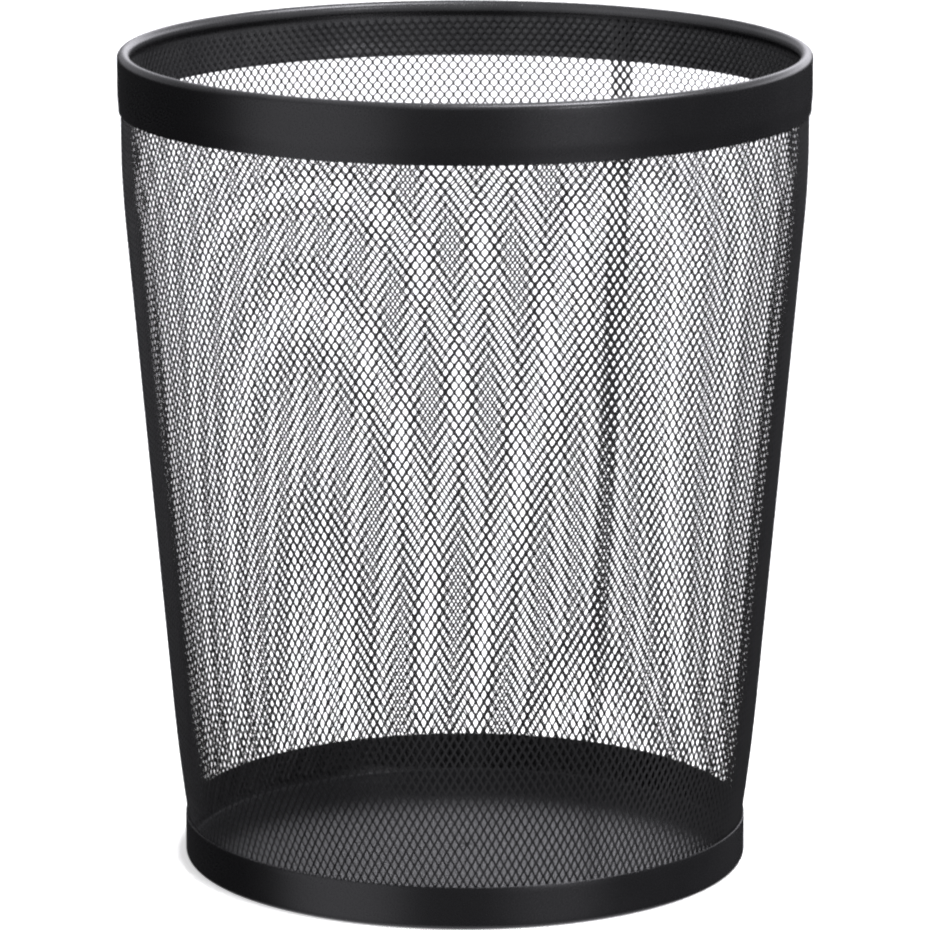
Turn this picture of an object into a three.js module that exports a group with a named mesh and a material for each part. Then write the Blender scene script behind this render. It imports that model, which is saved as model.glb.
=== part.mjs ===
// A round, tapered office wastebasket in black powder-coated steel.
//
// A sheet of expanded steel mesh is rolled into a tapered wall and lapped on itself at one seam.
// A sheet-steel band with a rolled top edge grips the mesh at the mouth. A second band, turned in
// underneath, grips it at the foot, and a flat round plate lies on that turned-in lip as the floor.
//
// Units are millimetres. The origin is the centre of the foot on the surface that the basket
// stands on, +Z is up along the basket's axis, and the seam is towards the back (+Y), on the +X side.

import * as THREE from 'three';

// ---- driving dimensions -------------------------------------------------------------------

const HEIGHT = 353;
const RIM_RADIUS = 147.75;        // outside of the rim band
const FOOT_RADIUS = 121.9;        // outside of the foot band

const RIM_SHEET = 0.55;           // sheet thicknesses
const FOOT_SHEET = 0.6;
const FLOOR_SHEET = 0.6;
const MESH_THICKNESS = 0.8;       // over the raised strands of the mesh
const GAP = 0.3;                  // kept between pieces that touch

const RIM_BAND_BOTTOM = 327.8;    // height of the rim band's lower edge
const RIM_BEAD_RADIUS = 2.7;      // outside radius of the rolled top edge
const RIM_BEAD_TURN = 240;        // degrees that the edge is rolled through
const RIM_CRIMP_HEIGHT = 8;       // the band's lower edge eases inwards over this height
const RIM_CRIMP_DEPTH = 0.45;

const FOOT_BAND_TOP = 18.8;       // height of the foot band's upper edge
const FOOT_CORNER_RADIUS = 2.5;   // outside radius where the band turns in underneath
const FOOT_LIP_RADIUS = 111;      // inner edge of the turned-in lip

// The wall is a cone that straightens up towards the rim and closes in a little faster at the foot.
const CONE_SLOPE = 0.0855;        // radius gained for each mm of height
const CONE_RADIUS = 142.35;       // radius of the cone at CONE_HEIGHT
const CONE_HEIGHT = 250;
const NECK_START = 280;           // above this the wall straightens up
const NECK_END = 316;             // and from here it is upright
const TUCK_START = 72;            // below this the wall closes in
const TUCK_RATE = 0.00055;        // radius lost for each mm squared below TUCK_START

const SEAM_AZIMUTH = 61.1;        // degrees from +X towards +Y, at the middle of the lap
const SEAM_WIDTH = 4.8;           // degrees of wall that lie double

const FLOOR_BOTTOM = FOOT_SHEET + GAP;
const MESH_BOTTOM = FLOOR_BOTTOM + FLOOR_SHEET + 2 * GAP;
const MESH_TOP = HEIGHT - 2 * RIM_BEAD_RADIUS - 2 * GAP;

const SEGMENTS = 72;              // round the axis
const WALL_STATIONS = 10;         // up the wall, between the two bands

// ---- materials ------------------------------------------------------------------------------

const blackPaint = new THREE.MeshStandardMaterial({ color: 0x1b1b1d, roughness: 0.38, metalness: 0 });
const meshPaint = new THREE.MeshStandardMaterial({ color: 0x18181a, roughness: 0.42, metalness: 0 });
const floorPaint = new THREE.MeshStandardMaterial({ color: 0x1d1d1f, roughness: 0.3, metalness: 0 });

// ---- outlines: points are (radius, height) ---------------------------------------------------

const radians = THREE.MathUtils.degToRad;

// Points along a round stretch of an outline, from one angle to another, in degrees.
function arc(radius, height, size, from, to, steps) {
  return Array.from({ length: steps + 1 }, (_, i) => {
    const angle = radians(from + (to - from) * i / steps);
    return new THREE.Vector2(radius + size * Math.cos(angle), height + size * Math.sin(angle));
  });
}

// Gives an open path the thickness of its sheet: out along the path, and back on its left side.
function sheetSection(path, thickness) {
  const inner = path.map((point, i) => {
    const before = path[Math.max(i - 1, 0)];
    const after = path[Math.min(i + 1, path.length - 1)];
    const along = after.clone().sub(before).normalize();
    return new THREE.Vector2(point.x - along.y * thickness, point.y + along.x * thickness);
  });
  return [...path, ...inner.reverse()];
}

// The outside radius of the mesh wall at a height.
function wallRadius(height) {
  const h = THREE.MathUtils.clamp(height, FOOT_BAND_TOP, NECK_END);
  const neck = Math.max(h - NECK_START, 0);
  const tuck = Math.max(TUCK_START - h, 0);
  const neckRate = CONE_SLOPE / (2 * (NECK_END - NECK_START));
  return CONE_RADIUS + CONE_SLOPE * (h - CONE_HEIGHT) - neckRate * neck ** 2 - TUCK_RATE * tuck ** 2;
}

// ---- solids ------------------------------------------------------------------------------------

// Turns a closed outline about the axis, at the given azimuths in degrees. sectionAt returns the
// outline, with the same number of points each time, going up on its outer side.
function revolve(azimuths, sectionAt) {
  const positions = [];
  const indices = [];
  const sections = azimuths.map(sectionAt);
  const count = sections[0].length;
  azimuths.forEach((azimuth, i) => {
    const cos = Math.cos(radians(azimuth));
    const sin = Math.sin(radians(azimuth));
    for (const point of sections[i]) {
      positions.push(point.x * cos, point.x * sin, point.y);
    }
  });
  for (let i = 0; i < azimuths.length; i++) {
    const next = (i + 1) % azimuths.length;
    for (let j = 0; j < count; j++) {
      const k = (j + 1) % count;
      const [a, b, c, d] = [i * count + j, next * count + j, next * count + k, i * count + k];
      indices.push(a, b, c, a, c, d);
    }
  }
  const geometry = new THREE.BufferGeometry();
  geometry.setAttribute('position', new THREE.Float32BufferAttribute(positions, 3));
  geometry.setIndex(indices);
  geometry.computeVertexNormals();
  return geometry;
}

const evenAzimuths = Array.from({ length: SEGMENTS }, (_, i) => i * 360 / SEGMENTS);

function piece(name, geometry, material) {
  const mesh = new THREE.Mesh(geometry, material);
  mesh.name = name;
  return mesh;
}

// The rim band: an upright band, eased in at its lower edge, with its top edge rolled inwards.
function rimBand() {
  const crimpSteps = 3;
  const crimp = Array.from({ length: crimpSteps }, (_, i) => {
    const t = i / crimpSteps;
    const ease = (1 + Math.cos(Math.PI * t)) / 2;
    return new THREE.Vector2(RIM_RADIUS - RIM_CRIMP_DEPTH * ease, RIM_BAND_BOTTOM + RIM_CRIMP_HEIGHT * t);
  });
  const upright = new THREE.Vector2(RIM_RADIUS, RIM_BAND_BOTTOM + RIM_CRIMP_HEIGHT);
  const beadRadius = RIM_RADIUS - RIM_BEAD_RADIUS;
  const beadHeight = HEIGHT - RIM_BEAD_RADIUS;
  const bead = arc(beadRadius, beadHeight, RIM_BEAD_RADIUS, 0, RIM_BEAD_TURN, RIM_BEAD_TURN / 30);
  const section = sheetSection([...crimp, upright, ...bead], RIM_SHEET);
  return piece('rim_band', revolve(evenAzimuths, () => section), blackPaint);
}

// The mesh wall: a thin shell over the strands, open at both ends, and double at the seam.
function meshWall() {
  const between = Array.from({ length: WALL_STATIONS }, (_, i) => {
    return FOOT_BAND_TOP + (NECK_END - FOOT_BAND_TOP) * (i + 1) / WALL_STATIONS;
  });
  const heights = [MESH_BOTTOM, FOOT_BAND_TOP, ...between, MESH_TOP];

  const lapEdge = 0.3;            // degrees over which the second layer starts and ends
  const lapStart = SEAM_AZIMUTH - SEAM_WIDTH / 2;
  const lapEnd = SEAM_AZIMUTH + SEAM_WIDTH / 2;
  const clearOfLap = evenAzimuths.filter((a) => a < lapStart - 2 * lapEdge || a > lapEnd + 2 * lapEdge);
  const atLap = [lapStart - lapEdge, lapStart, lapEnd, lapEnd + lapEdge];
  const azimuths = [...clearOfLap, ...atLap].sort((a, b) => a - b);

  return piece('mesh_wall', revolve(azimuths, (azimuth) => {
    const doubled = azimuth >= lapStart && azimuth <= lapEnd;
    const thickness = doubled ? 2 * MESH_THICKNESS : MESH_THICKNESS;
    const outside = heights.map((h) => new THREE.Vector2(wallRadius(h), h));
    const inside = heights.map((h) => new THREE.Vector2(wallRadius(h) - thickness, h));
    return [...outside, ...inside.reverse()];
  }), meshPaint);
}

// The foot band: an upright band with a rounded corner, turned in underneath as a flat lip.
function footBand() {
  const corner = arc(FOOT_RADIUS - FOOT_CORNER_RADIUS, FOOT_CORNER_RADIUS, FOOT_CORNER_RADIUS, -90, 0, 4);
  const lip = new THREE.Vector2(FOOT_LIP_RADIUS, 0);
  const edge = new THREE.Vector2(FOOT_RADIUS, FOOT_BAND_TOP);
  const section = sheetSection([lip, ...corner, edge], FOOT_SHEET);
  return piece('foot_band', revolve(evenAzimuths, () => section), blackPaint);
}

// The floor plate: a flat disc on the foot band's lip, inside its rounded corner.
function floorPlate() {
  const radius = FOOT_RADIUS - FOOT_CORNER_RADIUS;
  const top = FLOOR_BOTTOM + FLOOR_SHEET;
  const outline = [[0, FLOOR_BOTTOM], [radius, FLOOR_BOTTOM], [radius, top], [0, top]];
  const geometry = new THREE.LatheGeometry(outline.map((p) => new THREE.Vector2(...p)), SEGMENTS);
  geometry.rotateX(Math.PI / 2);
  return piece('floor_plate', geometry, floorPaint);
}

const group = new THREE.Group();
group.add(rimBand(), meshWall(), footBand(), floorPlate());

export default group;
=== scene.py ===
"""A round, tapered wastebasket in black powder-coated steel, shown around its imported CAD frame.

The CAD nodes keep the basket's shape and size. Each is replaced here by the piece with its fine surface:
the rim band with its rolled bead, the wall of expanded metal strand by strand, the foot band with its
rounded corner, and the floor plate. Lengths are in millimetres until they become mesh vertices.
"""

import math

import bpy
import numpy as np
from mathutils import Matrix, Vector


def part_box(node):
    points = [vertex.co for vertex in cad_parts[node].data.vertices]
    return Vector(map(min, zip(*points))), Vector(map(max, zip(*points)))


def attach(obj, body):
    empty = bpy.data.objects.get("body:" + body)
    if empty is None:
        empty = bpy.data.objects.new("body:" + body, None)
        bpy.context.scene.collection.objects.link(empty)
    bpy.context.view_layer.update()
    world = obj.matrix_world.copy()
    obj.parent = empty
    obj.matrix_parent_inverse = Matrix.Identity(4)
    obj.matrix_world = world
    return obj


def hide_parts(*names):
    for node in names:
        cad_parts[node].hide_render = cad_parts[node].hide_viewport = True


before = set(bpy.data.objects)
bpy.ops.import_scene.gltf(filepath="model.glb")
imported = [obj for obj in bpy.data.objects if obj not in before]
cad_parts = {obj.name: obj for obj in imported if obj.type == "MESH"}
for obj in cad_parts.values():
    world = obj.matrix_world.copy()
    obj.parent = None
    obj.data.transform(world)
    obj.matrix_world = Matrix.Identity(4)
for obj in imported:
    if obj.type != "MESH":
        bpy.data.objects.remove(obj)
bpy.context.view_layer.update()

MM = 0.001

# ---- sizes that come from the frame --------------------------------------------------------------


def node_extent(node):
    """(outside radius, lowest height, highest height) of a round CAD node, in millimetres."""
    low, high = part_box(node)
    return high.x / MM, low.z / MM, high.z / MM


RIM_RADIUS, RIM_BAND_BOTTOM, HEIGHT = node_extent("rim_band")
FOOT_RADIUS, _, FOOT_BAND_TOP = node_extent("foot_band")
FLOOR_RADIUS, FLOOR_BOTTOM, FLOOR_TOP = node_extent("floor_plate")

# ---- sizes that the frame doesn't state ----------------------------------------------------------

RIM_SHEET = 0.55
FOOT_SHEET = 0.6
MESH_DEPTH = 0.8            # over the raised strands

RIM_BEAD_RADIUS = 2.7       # outside radius of the rolled top edge
RIM_BEAD_TURN = 240         # degrees that the edge is rolled through
RIM_CRIMP_HEIGHT = 8        # the band's lower edge eases inwards over this height
RIM_CRIMP_DEPTH = 0.45

FOOT_CORNER_RADIUS = 2.5    # outside radius where the foot band turns in underneath
FOOT_LIP_RADIUS = 111       # inner edge of the turned-in lip

PLATE_RIM_HEIGHT = 0.7      # the floor plate's edge curls up by this much
PLATE_RIM_WIDTH = 3.2       # over this width

# The wall is a cone that straightens up towards the rim and closes in a little faster at the foot.
CONE_SLOPE = 0.0855
CONE_RADIUS = 142.35        # outside radius of the cone at CONE_HEIGHT
CONE_HEIGHT = 250
NECK_START = 280
NECK_END = 316
TUCK_START = 72
TUCK_RATE = 0.00055

SEGMENTS = 288              # round the axis, on the bands and the floor plate
BAND_SMOOTH_ANGLE = math.radians(40)

# Steps along each stretch of their outlines.
EDGE_STEPS = 6              # round the half circle at a sheet's edge
CRIMP_STEPS = 14
RIM_UPRIGHT_STEPS = 5
BEAD_STEPS = 32
LIP_STEPS = 4
CORNER_STEPS = 16
FOOT_UPRIGHT_STEPS = 6
PLATE_STEPS = 24
PLATE_RIM_STEPS = 10

# ---- the expanded metal --------------------------------------------------------------------------
# Azimuths are compass angles in radians, from +Y at the back towards +X.

CELLS_ROUND = 225           # openings in one full turn, at every height
COLUMN_TURN = math.pi / CELLS_ROUND     # from one column to the next, half an opening on
SEAM_AZIMUTH = math.radians(28.9)
SEAM_STRIPS = 5             # half openings across the lap, where the sheet lies double
FRONT_HOLE = math.pi + 0.0217   # azimuth of the column of openings that the rows are counted on

# Height of row v of openings: ROW_START + ROW_HEIGHT v - ROW_SHRINK v |v|. The openings get lower as
# they get wider.
ROW_START = 28.07
ROW_HEIGHT = 6.426
ROW_SHRINK = 0.01108
FIRST_ROW = -3.5            # the sheet starts behind the foot band
LAST_ROW = 54.5             # and ends behind the rim band

ROW_DRIFT = -0.8            # how much higher the rows lie at the back than at the front
COLUMN_LEAN = 0.006         # radians that the columns bow aside, LEAN_REACH from the middle of the bow
LEAN_REACH = 160
LEAN_CENTRE = 170           # height of that middle, at the left and right of the basket
LEAN_CENTRE_SHIFT = 60      # and it is this much lower at the front, and higher at the back
SWAY_LOW = -2.1             # the rows rise and fall twice in a turn, one way low on the wall
SWAY_GAIN = 4.0             # and the other way near the rim
SWAY_POWER = 2.7

# A strand is a flat ribbon that stands like the slat of a louvre. Low on the wall the sheet is
# stretched less, so the strands lie flatter and show wider. The pairs are (at the foot, at the rim).
STRAND_WIDTH = (0.82, 0.68)
STRAND_TILT = (math.radians(-22), math.radians(-27))
KNUCKLE_HALF = (0.28, 0.6)  # half the height of the joint between two strands
STRAND_THICKNESS = 0.24
KNUCKLE_SPREAD = 0.36       # strand widths from the joint's middle to each strand's
SEAM_TILT = math.radians(-5)        # the lap is pressed flat to weld it
SEAM_STRAND_WIDTH = (0.95, 1.2)     # which spreads its strands
LAP_STEP = 0.22             # inwards from the outer layer of the lap to the inner one
LAP_SHIFT = 0.12            # and sideways, so that the two show as one thick lattice
LAP_RAMP_STRIPS = 3         # over which the sheet steps inwards to lie behind itself
STRAND_SMOOTH_ANGLE = math.radians(50)
PANELS = 6                  # the one sheet is cut into this many pieces, to keep each light


def wall_radius(height):
    """The outside radius of the mesh wall at a height."""
    h = np.clip(height, FOOT_BAND_TOP, NECK_END)
    neck = np.maximum(h - NECK_START, 0)
    tuck = np.maximum(TUCK_START - h, 0)
    neck_rate = CONE_SLOPE / (2 * (NECK_END - NECK_START))
    return CONE_RADIUS + CONE_SLOPE * (h - CONE_HEIGHT) - neck_rate * neck**2 - TUCK_RATE * tuck**2


def smooth_step(low, high, value):
    """0 up to low, 1 from high on, and a smooth rise between them."""
    t = np.clip((value - low) / (high - low), 0, 1)
    return t * t * (3 - 2 * t)


# ---- making meshes -------------------------------------------------------------------------------


def mesh_object(name, vertices, quads, smooth_angle):
    """A mesh object from vertices in millimetres and four-sided faces, shaded smooth below an angle."""
    mesh = bpy.data.meshes.new(name)
    mesh.vertices.add(len(vertices))
    mesh.vertices.foreach_set("co", (vertices * MM).astype(np.float32).ravel())
    mesh.loops.add(quads.size)
    mesh.loops.foreach_set("vertex_index", quads.astype(np.int32).ravel())
    mesh.polygons.add(len(quads))
    mesh.polygons.foreach_set("loop_start", np.arange(0, quads.size, 4, dtype=np.int32))
    mesh.update(calc_edges=True)
    mesh.validate()
    mesh.shade_smooth()
    mesh.set_sharp_from_angle(angle=smooth_angle)
    piece = bpy.data.objects.new(name, mesh)
    bpy.context.scene.collection.objects.link(piece)
    return piece


def arc(radius, height, size, start, end, steps):
    """Points (radius, height) along a round stretch of an outline, between two angles in degrees."""
    angles = np.radians(np.linspace(start, end, steps + 1))
    return np.column_stack([radius + size * np.cos(angles), height + size * np.sin(angles)])


def sheet_section(path, thickness):
    """Gives an open path its sheet's thickness, on its left side, with rounded edges at both ends."""
    along = np.gradient(path, axis=0)
    along /= np.linalg.norm(along, axis=1)[:, None]
    left = np.column_stack([-along[:, 1], along[:, 0]])
    inner = path + left * thickness
    half = thickness / 2
    turn = np.pi * np.arange(1, EDGE_STEPS)[:, None] / EDGE_STEPS

    def round_edge(i, sign):
        middle = path[i] + left[i] * half
        return middle - left[i] * half * np.cos(turn) + sign * along[i] * half * np.sin(turn)

    return np.vstack([path, round_edge(-1, 1), inner[::-1], round_edge(0, -1)[::-1]])


def revolve(name, section):
    """A closed outline of (radius, height) points turned about the axis."""
    count = len(section)
    turn = 2 * np.pi * np.arange(SEGMENTS) / SEGMENTS
    radius, height = section[:, 0], section[:, 1]
    x = np.outer(np.cos(turn), radius)
    y = np.outer(np.sin(turn), radius)
    z = np.tile(height, (SEGMENTS, 1))
    vertices = np.stack([x, y, z], axis=-1).reshape(-1, 3)
    i, j = np.meshgrid(np.arange(SEGMENTS), np.arange(count), indexing="ij")
    i_next, j_next = (i + 1) % SEGMENTS, (j + 1) % count
    corners = [i * count + j, i_next * count + j, i_next * count + j_next, i * count + j_next]
    quads = np.stack(corners, axis=-1).reshape(-1, 4)
    return mesh_object(name, vertices, quads, BAND_SMOOTH_ANGLE)


# ---- the bands and the floor plate ---------------------------------------------------------------


def straight(start, end, steps):
    """Points (radius, height) along a straight stretch of an outline, without its end."""
    return np.linspace(start, end, steps + 1)[:-1]


def rim_band():
    """An upright band, eased in at its lower edge, with its top edge rolled inwards into a bead."""
    bottom = RIM_BAND_BOTTOM + RIM_SHEET / 2
    bead_height = HEIGHT - RIM_BEAD_RADIUS
    t = np.linspace(0, 1, CRIMP_STEPS + 1)[:-1]
    ease = (1 + np.cos(np.pi * t)) / 2
    crimp = np.column_stack([RIM_RADIUS - RIM_CRIMP_DEPTH * ease, bottom + RIM_CRIMP_HEIGHT * t])
    crimp_top = bottom + RIM_CRIMP_HEIGHT
    upright = straight((RIM_RADIUS, crimp_top), (RIM_RADIUS, bead_height), RIM_UPRIGHT_STEPS)
    bead_centre = RIM_RADIUS - RIM_BEAD_RADIUS
    bead = arc(bead_centre, bead_height, RIM_BEAD_RADIUS, 0, RIM_BEAD_TURN, BEAD_STEPS)
    return revolve("rim_band_steel", sheet_section(np.vstack([crimp, upright, bead]), RIM_SHEET))


def foot_band():
    """An upright band with a rounded corner, turned in underneath as a flat lip."""
    edge = FOOT_SHEET / 2
    corner_radius = FOOT_RADIUS - FOOT_CORNER_RADIUS
    lip = straight((FOOT_LIP_RADIUS + edge, 0), (corner_radius, 0), LIP_STEPS)
    corner = arc(corner_radius, FOOT_CORNER_RADIUS, FOOT_CORNER_RADIUS, -90, 0, CORNER_STEPS)
    top = (FOOT_RADIUS, FOOT_BAND_TOP - edge)
    upright = straight(top, (FOOT_RADIUS, FOOT_CORNER_RADIUS), FOOT_UPRIGHT_STEPS)[::-1]
    return revolve("foot_band_steel", sheet_section(np.vstack([lip, corner, upright]), FOOT_SHEET))


def floor_plate():
    """A flat disc whose rounded edge curls up a little. Its outline stops just short of the axis."""
    sheet = FLOOR_TOP - FLOOR_BOTTOM
    curl_start = FLOOR_RADIUS - sheet / 2 - PLATE_RIM_WIDTH
    flat = straight((sheet, FLOOR_BOTTOM), (curl_start, FLOOR_BOTTOM), PLATE_STEPS)
    t = np.linspace(0, 1, PLATE_RIM_STEPS + 1)
    curl = FLOOR_BOTTOM + PLATE_RIM_HEIGHT * (1 - np.cos(np.pi * t / 2))
    edge = np.column_stack([curl_start + PLATE_RIM_WIDTH * t, curl])
    return revolve("floor_plate_steel", sheet_section(np.vstack([flat, edge]), sheet))


# ---- the wall of expanded metal ------------------------------------------------------------------


def lattice_point(column, row):
    """(azimuth, height) of a point of the lattice. It is the middle of an opening where column plus
    twice the row is even, and a knuckle where it is odd."""
    flat_height = ROW_START + ROW_HEIGHT * row - ROW_SHRINK * row * np.abs(row)
    azimuth = FRONT_HOLE + column * COLUMN_TURN
    lean_centre = LEAN_CENTRE + LEAN_CENTRE_SHIFT * np.cos(azimuth)
    azimuth = azimuth - COLUMN_LEAN * ((flat_height - lean_centre) / LEAN_REACH) ** 2
    sway = SWAY_LOW + SWAY_GAIN * np.clip(flat_height / NECK_END, 0, 1) ** SWAY_POWER
    height = flat_height + ROW_DRIFT * (1 + np.cos(azimuth)) / 2 + sway / 2 * np.sin(2 * azimuth)
    return azimuth, height


def seam_state(strip):
    """Whether each strip is pressed flat for the lap, and how far it lies behind the other edge, 0 to 1."""
    azimuth = FRONT_HOLE + (strip + 0.5) * COLUMN_TURN
    from_seam = np.abs((azimuth - SEAM_AZIMUTH + math.pi) % (2 * math.pi) - math.pi)
    seam_half = SEAM_STRIPS / 2 * COLUMN_TURN
    pressed = from_seam < seam_half
    lap_start = SEAM_AZIMUTH + 2 * math.pi - seam_half
    behind = smooth_step(lap_start - LAP_RAMP_STRIPS * COLUMN_TURN, lap_start, azimuth)
    return pressed, behind


def from_foot_to_rim(pair, up):
    """The value at a height, given as 0 to 1, of something stated at the foot and at the rim."""
    return pair[0] + (pair[1] - pair[0]) * up


def strand_strips(first_strip, strips):
    """Vertices and faces of neighbouring zigzag strips. A strip runs up the wall between two columns
    of openings and meets its neighbours at the knuckles, half way between two openings."""
    half_rows = np.arange(int(2 * FIRST_ROW), int(2 * LAST_ROW) + 1)
    strip = first_strip + np.arange(strips)[:, None]
    at_left = (half_rows + strip) % 2 == 1
    azimuth, height = lattice_point(np.where(at_left, strip, strip + 1), half_rows / 2)

    pressed, behind = seam_state(strip)
    up = np.clip(height / NECK_END, 0, 1)
    width = np.where(pressed, from_foot_to_rim(SEAM_STRAND_WIDTH, up), from_foot_to_rim(STRAND_WIDTH, up))
    tilt = np.where(pressed, SEAM_TILT, from_foot_to_rim(STRAND_TILT, up))
    knuckle = from_foot_to_rim(KNUCKLE_HALF, up)

    # Where two strips meet, one stands beside and behind the other along the tilt.
    side = np.where(at_left, 1, -1)
    spread = side * width * KNUCKLE_SPREAD
    radius = wall_radius(height) - MESH_DEPTH / 2 - LAP_STEP * behind + spread * np.sin(tilt)
    azimuth = azimuth + (LAP_SHIFT * behind + spread * np.cos(tilt)) / radius

    # The slope of the strand between two knuckles sets the mitre where it bends.
    run = np.abs(np.diff(azimuth, axis=1)) * radius[:, 1:]
    rise = np.diff(height, axis=1) - knuckle[:, :-1] - knuckle[:, 1:]
    bend = np.arctan2(run, rise)
    mitre = np.tan(np.hstack([bend, bend[:, -1:]]) / 2)

    rings = []
    for level in (-1, 1):
        for part_w, part_t in ((-1, -1), (1, -1), (1, 1), (-1, 1)):
            half_width = part_w * width / 2
            half_depth = part_t * STRAND_THICKNESS / 2
            across = half_width * np.cos(tilt) - half_depth * np.sin(tilt)
            corner_radius = radius + half_width * np.sin(tilt) + half_depth * np.cos(tilt)
            corner_azimuth = azimuth + across / radius
            corner_height = height + level * (knuckle - side * across * mitre)
            rings.append(np.stack([
                corner_radius * np.sin(corner_azimuth),
                corner_radius * np.cos(corner_azimuth),
                corner_height,
            ], axis=-1))
    corners = np.stack(rings, axis=2)
    return corners.reshape(-1, 3), strip_faces(strips, corners.shape[1] * 2)


def strip_faces(strips, rings):
    """The faces of strips that each have this many rings of four corners, one above the other."""
    ring = np.arange(rings - 1)[:, None] * 4
    above = ring + 4
    corner = np.arange(4)
    after = (corner + 1) % 4
    walls = np.stack([ring + corner, above + corner, above + after, ring + after], axis=-1)
    top = rings * 4 - 1
    caps = np.array([[0, 1, 2, 3], [top, top - 1, top - 2, top - 3]])
    faces = np.vstack([walls.reshape(-1, 4), caps])
    offsets = (np.arange(strips) * rings * 4)[:, None, None]
    return (faces + offsets).reshape(-1, 4)


def mesh_panels():
    """The sheet from one edge of the lap, once round, to the other, cut into panels between strips."""
    first = round((SEAM_AZIMUTH - FRONT_HOLE) / COLUMN_TURN - SEAM_STRIPS / 2)
    count = 2 * CELLS_ROUND + SEAM_STRIPS
    edges = np.linspace(first, first + count, PANELS + 1).round().astype(int)
    panels = []
    for number, (left, right) in enumerate(zip(edges[:-1], edges[1:]), start=1):
        vertices, quads = strand_strips(left, right - left)
        panels.append(mesh_object(f"mesh_panel_{number}", vertices, quads, STRAND_SMOOTH_ANGLE))
    return panels


# ---- materials -----------------------------------------------------------------------------------


CLOUD_SIZE = 18             # of the unevenness of the coat's colour
PAINT_IOR = 1.5
NOISE_RANGE = (0.3, 0.7)    # the part of a noise's values that is used, as few lie beyond it
GLOSS_SPREAD = (-0.04, 0.05)        # what the grain adds to the roughness


def powder_coat(name, dark, light, roughness, grain_size, grain_depth):
    """Powder coat: a fine orange peel, and a slight unevenness of colour and gloss."""
    material = bpy.data.materials.new(name)
    material.use_nodes = True
    tree = material.node_tree
    shader = tree.nodes["Principled BSDF"]
    shader.inputs["IOR"].default_value = PAINT_IOR
    position = tree.nodes.new("ShaderNodeTexCoord")

    def noise(size, detail):
        node = tree.nodes.new("ShaderNodeTexNoise")
        node.inputs["Scale"].default_value = 1 / (size * MM)
        node.inputs["Detail"].default_value = detail
        tree.links.new(position.outputs["Object"], node.inputs["Vector"])
        return node.outputs["Fac"]

    def spread(value, low, high):
        node = tree.nodes.new("ShaderNodeMapRange")
        node.inputs["From Min"].default_value = NOISE_RANGE[0]
        node.inputs["From Max"].default_value = NOISE_RANGE[1]
        node.inputs["To Min"].default_value = low
        node.inputs["To Max"].default_value = high
        tree.links.new(value, node.inputs["Value"])
        return node.outputs["Result"]

    cloud = noise(CLOUD_SIZE, detail=3)
    grain = noise(grain_size, detail=2)

    colour = tree.nodes.new("ShaderNodeMix")
    colour.data_type = "RGBA"
    colour.inputs["A"].default_value = (*dark, 1)
    colour.inputs["B"].default_value = (*light, 1)
    tree.links.new(spread(cloud, 0, 1), colour.inputs["Factor"])
    tree.links.new(colour.outputs["Result"], shader.inputs["Base Color"])

    uneven_gloss = spread(grain, roughness + GLOSS_SPREAD[0], roughness + GLOSS_SPREAD[1])
    tree.links.new(uneven_gloss, shader.inputs["Roughness"])

    bump = tree.nodes.new("ShaderNodeBump")
    bump.inputs["Strength"].default_value = 1
    bump.inputs["Distance"].default_value = grain_depth * MM
    tree.links.new(grain, bump.inputs["Height"])
    tree.links.new(bump.outputs["Normal"], shader.inputs["Normal"])
    return material


def band_paint():
    """A satin black, for the two bands."""
    return powder_coat(
        "band_paint",
        dark=(0.0065, 0.0065, 0.007),
        light=(0.0085, 0.0085, 0.009),
        roughness=0.27,
        grain_size=0.7,
        grain_depth=0.01,
    )


def mesh_paint():
    """A duller black for the strands, its colour made darker than the bands' black as painted shade, so
    that the strands show darker than the band behind them.
    """
    return powder_coat(
        "mesh_paint",
        # The strands' darker colour is painted shade; the coat is the bands' black.
        dark=(0.002, 0.002, 0.0022),
        light=(0.0035, 0.0035, 0.0037),
        roughness=0.5,
        grain_size=0.5,
        grain_depth=0.01,
    )


def floor_paint():
    """A slightly darker and glossier black with a shallower grain, for the floor plate."""
    return powder_coat(
        "floor_paint",
        dark=(0.003, 0.003, 0.0033),
        light=(0.0045, 0.0045, 0.0048),
        roughness=0.23,
        grain_size=0.8,
        grain_depth=0.006,
    )


# ---- the studio ----------------------------------------------------------------------------------


# The camera's place, and the fill lamp's place and size, are in metres.
CAMERA_PLACE = (0, -2.456, 0.7259)
CAMERA_DOWN = 12.712        # degrees that it looks down
SENSOR_WIDTH = 36
FOCAL_LENGTH = 225.96
VIEW_DISTANCE = 100         # metres, as far as the camera shows anything
LENS_SOFTNESS = 2.5         # width of the filter that blurs the picture, in pixels, 1.5 being crisp

SEEN_WHITE = 1.4            # radiance of floor and room where they show directly: plain white
FLOOR_ALBEDO = 0.8          # share of the light on it that the floor scatters where it shows
FLOOR_HALF_SIZE = 40000
ROOM_LIGHT = 0.17           # radiance of the dim room in front, that the basket's dark paint mirrors
ROOM_LIGHT_BEHIND = 0.03    # and of its far half, without the wall behind
ROOM_TINT = (1.01, 1.0, 1.07)       # red, green and blue of all the light in the room
BACK_LIGHT = 2.3            # radiance of the wall behind, from the level of the floor up
BACK_LIGHT_HIGH = 0.45      # and higher up
BACK_LIGHT_LEFT = 0.2       # share of it that is left towards the left

# Where each of these changes over: between two values of x (to the right), y (away from the camera)
# or z (up) of the direction that one looks in, as a unit vector.
ROOM_FADE_Y = (-0.5, 0.3)
BACK_START_Y = (-0.1, 0.5)
BACK_START_Z = (-0.02, 0.12)
BACK_DIM_Z = (0.25, 0.5)
BACK_LEFT_X = (-0.2, 0.1)

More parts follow.
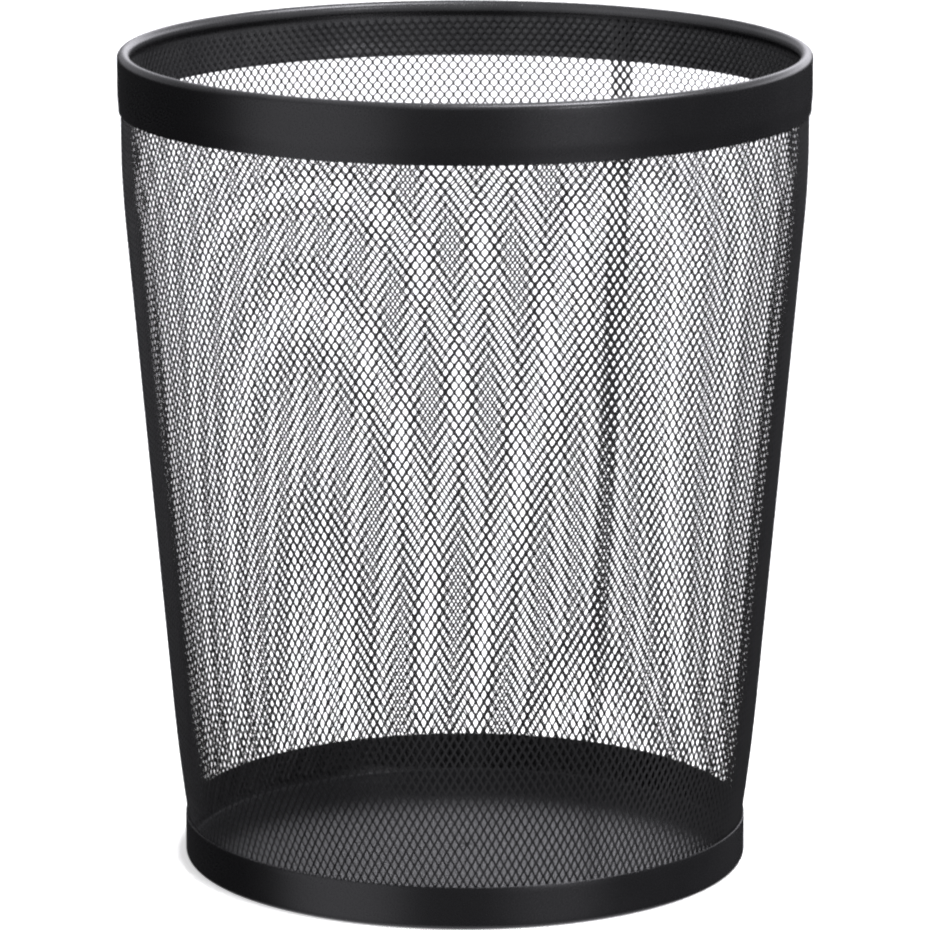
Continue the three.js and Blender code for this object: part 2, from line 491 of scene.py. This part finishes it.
# Far soft lights, each as (degrees from the camera's side towards +X, degrees up, degrees from its
# middle to where it starts to fade, and to where it ends, radiance).
SOFT_LIGHTS = [
    (-51, -8, 8, 36, 0.85),
    (36.5, -8, 4, 28, 0.43),
    (115, -10, 10, 45, 0.05),
    (37, 9, 1, 11, 9),
    (38, 71, 4, 13, 12),
    (69, 62, 4, 13, 22),
    (91, 55, 4, 13, 12),
    (0, -90, 30, 55, 0.9),
]

# A small fill lamp over the front of the mouth, for the inside of the rim and the floor plate.
FILL_LAMP_PLACE = (0, -0.12, 0.55)
FILL_LAMP_SIZE = 0.12
FILL_LAMP_TILT = math.radians(45)       # towards the back
FILL_LAMP_WATTS = 9


def direction(side_degrees, up_degrees):
    """The unit vector that points this far round from the camera's side and this far up."""
    side = math.radians(side_degrees)
    up = math.radians(up_degrees)
    return (math.cos(up) * math.sin(side), -math.cos(up) * math.cos(side), math.sin(up))


def studio_world():
    """A dim room with a bright wall behind and soft lights round it, which itself shows plain white."""
    world = bpy.data.worlds.new("studio")
    bpy.context.scene.world = world
    world.use_nodes = True
    tree = world.node_tree
    position = tree.nodes.new("ShaderNodeTexCoord")
    split = tree.nodes.new("ShaderNodeSeparateXYZ")
    tree.links.new(position.outputs["Generated"], split.inputs["Vector"])

    def ramp(value, span, low, high):
        node = tree.nodes.new("ShaderNodeMapRange")
        node.interpolation_type = "SMOOTHSTEP"
        node.inputs["From Min"].default_value = span[0]
        node.inputs["From Max"].default_value = span[1]
        node.inputs["To Min"].default_value = low
        node.inputs["To Max"].default_value = high
        tree.links.new(value, node.inputs["Value"])
        return node.outputs["Result"]

    def math_node(operation, first, second):
        node = tree.nodes.new("ShaderNodeMath")
        node.operation = operation
        tree.links.new(first, node.inputs[0])
        tree.links.new(second, node.inputs[1])
        return node.outputs["Value"]

    def soft_light(side_degrees, up_degrees, fade_from, fade_to, radiance):
        dot = tree.nodes.new("ShaderNodeVectorMath")
        dot.operation = "DOT_PRODUCT"
        dot.inputs[1].default_value = direction(side_degrees, up_degrees)
        tree.links.new(position.outputs["Generated"], dot.inputs[0])
        fade = (math.cos(math.radians(fade_to)), math.cos(math.radians(fade_from)))
        return ramp(dot.outputs["Value"], fade, 0, radiance)

    room_light = ramp(split.outputs["Y"], ROOM_FADE_Y, ROOM_LIGHT, ROOM_LIGHT_BEHIND)
    wall = ramp(split.outputs["Z"], BACK_DIM_Z, BACK_LIGHT, BACK_LIGHT_HIGH)
    wall = math_node("MULTIPLY", wall, ramp(split.outputs["Y"], BACK_START_Y, 0, 1))
    wall = math_node("MULTIPLY", wall, ramp(split.outputs["Z"], BACK_START_Z, 0, 1))
    wall = math_node("MULTIPLY", wall, ramp(split.outputs["X"], BACK_LEFT_X, BACK_LIGHT_LEFT, 1))
    total = math_node("ADD", wall, room_light)
    for light in SOFT_LIGHTS:
        total = math_node("ADD", total, soft_light(*light))

    room = tree.nodes["Background"]
    room.inputs["Color"].default_value = (*ROOM_TINT, 1)
    tree.links.new(total, room.inputs["Strength"])
    shown = tree.nodes.new("ShaderNodeBackground")
    shown.inputs["Color"].default_value = (1, 1, 1, 1)
    shown.inputs["Strength"].default_value = SEEN_WHITE
    choose_for_camera(tree, room.outputs["Background"], shown.outputs["Background"], "World Output")


def choose_for_camera(tree, otherwise, for_camera, output):
    """Ends a node tree in one shader for what shows directly, and another for what lights the basket."""
    path = tree.nodes.new("ShaderNodeLightPath")
    choose = tree.nodes.new("ShaderNodeMixShader")
    tree.links.new(path.outputs["Is Camera Ray"], choose.inputs["Fac"])
    tree.links.new(otherwise, choose.inputs[1])
    tree.links.new(for_camera, choose.inputs[2])
    tree.links.new(choose.outputs["Shader"], tree.nodes[output].inputs["Surface"])


def studio_floor():
    """A plain pale floor. It shows white, and lets the basket mirror the room below its level."""
    corners = np.array([[-1, -1, 0], [1, -1, 0], [1, 1, 0], [-1, 1, 0]], float)
    face = np.array([[0, 1, 2, 3]])
    floor = mesh_object("studio_floor", FLOOR_HALF_SIZE * corners, face, smooth_angle=0)
    material = bpy.data.materials.new("pale_floor")
    material.use_nodes = True
    tree = material.node_tree
    shader = tree.nodes["Principled BSDF"]
    shader.inputs["Base Color"].default_value = (FLOOR_ALBEDO, FLOOR_ALBEDO, FLOOR_ALBEDO, 1)
    shader.inputs["Roughness"].default_value = 1
    shader.inputs["Specular IOR Level"].default_value = 0
    shader.inputs["Emission Color"].default_value = (1, 1, 1, 1)
    shader.inputs["Emission Strength"].default_value = SEEN_WHITE - FLOOR_ALBEDO
    through = tree.nodes.new("ShaderNodeBsdfTransparent")
    choose_for_camera(tree, through.outputs["BSDF"], shader.outputs["BSDF"], "Material Output")
    floor.data.materials.append(material)


def fill_lamp():
    """The fill lamp. It doesn't show, directly or as a reflection."""
    lamp = bpy.data.lights.new("fill_lamp", "AREA")
    lamp.size = FILL_LAMP_SIZE
    lamp.energy = FILL_LAMP_WATTS
    light = bpy.data.objects.new("fill_lamp", lamp)
    bpy.context.scene.collection.objects.link(light)
    light.location = FILL_LAMP_PLACE
    light.rotation_euler = (FILL_LAMP_TILT, 0, 0)
    light.visible_camera = False
    light.visible_glossy = False


def studio_camera():
    """The camera looks down a little from in front, with the basket filling the picture."""
    lens = bpy.data.cameras.new("camera")
    lens.sensor_width = SENSOR_WIDTH
    lens.lens = FOCAL_LENGTH
    lens.clip_end = VIEW_DISTANCE
    camera = bpy.data.objects.new("camera", lens)
    bpy.context.scene.collection.objects.link(camera)
    camera.location = CAMERA_PLACE
    camera.rotation_euler = (math.radians(90 - CAMERA_DOWN), 0, 0)
    bpy.context.scene.camera = camera


# ---- putting it together -------------------------------------------------------------------------


def place(piece, node, material):
    """Gives a piece its paint, and puts it in place of its CAD node."""
    piece.data.materials.append(material)
    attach(piece, "root")
    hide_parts(node)


on_bands = band_paint()
on_mesh = mesh_paint()
on_floor = floor_paint()

place(rim_band(), "rim_band", on_bands)
place(foot_band(), "foot_band", on_bands)
place(floor_plate(), "floor_plate", on_floor)
for panel in mesh_panels():
    place(panel, "mesh_wall", on_mesh)

bpy.context.scene.view_settings.view_transform = "Standard"
bpy.context.scene.cycles.filter_width = LENS_SOFTNESS
studio_world()
studio_floor()
fill_lamp()
studio_camera()
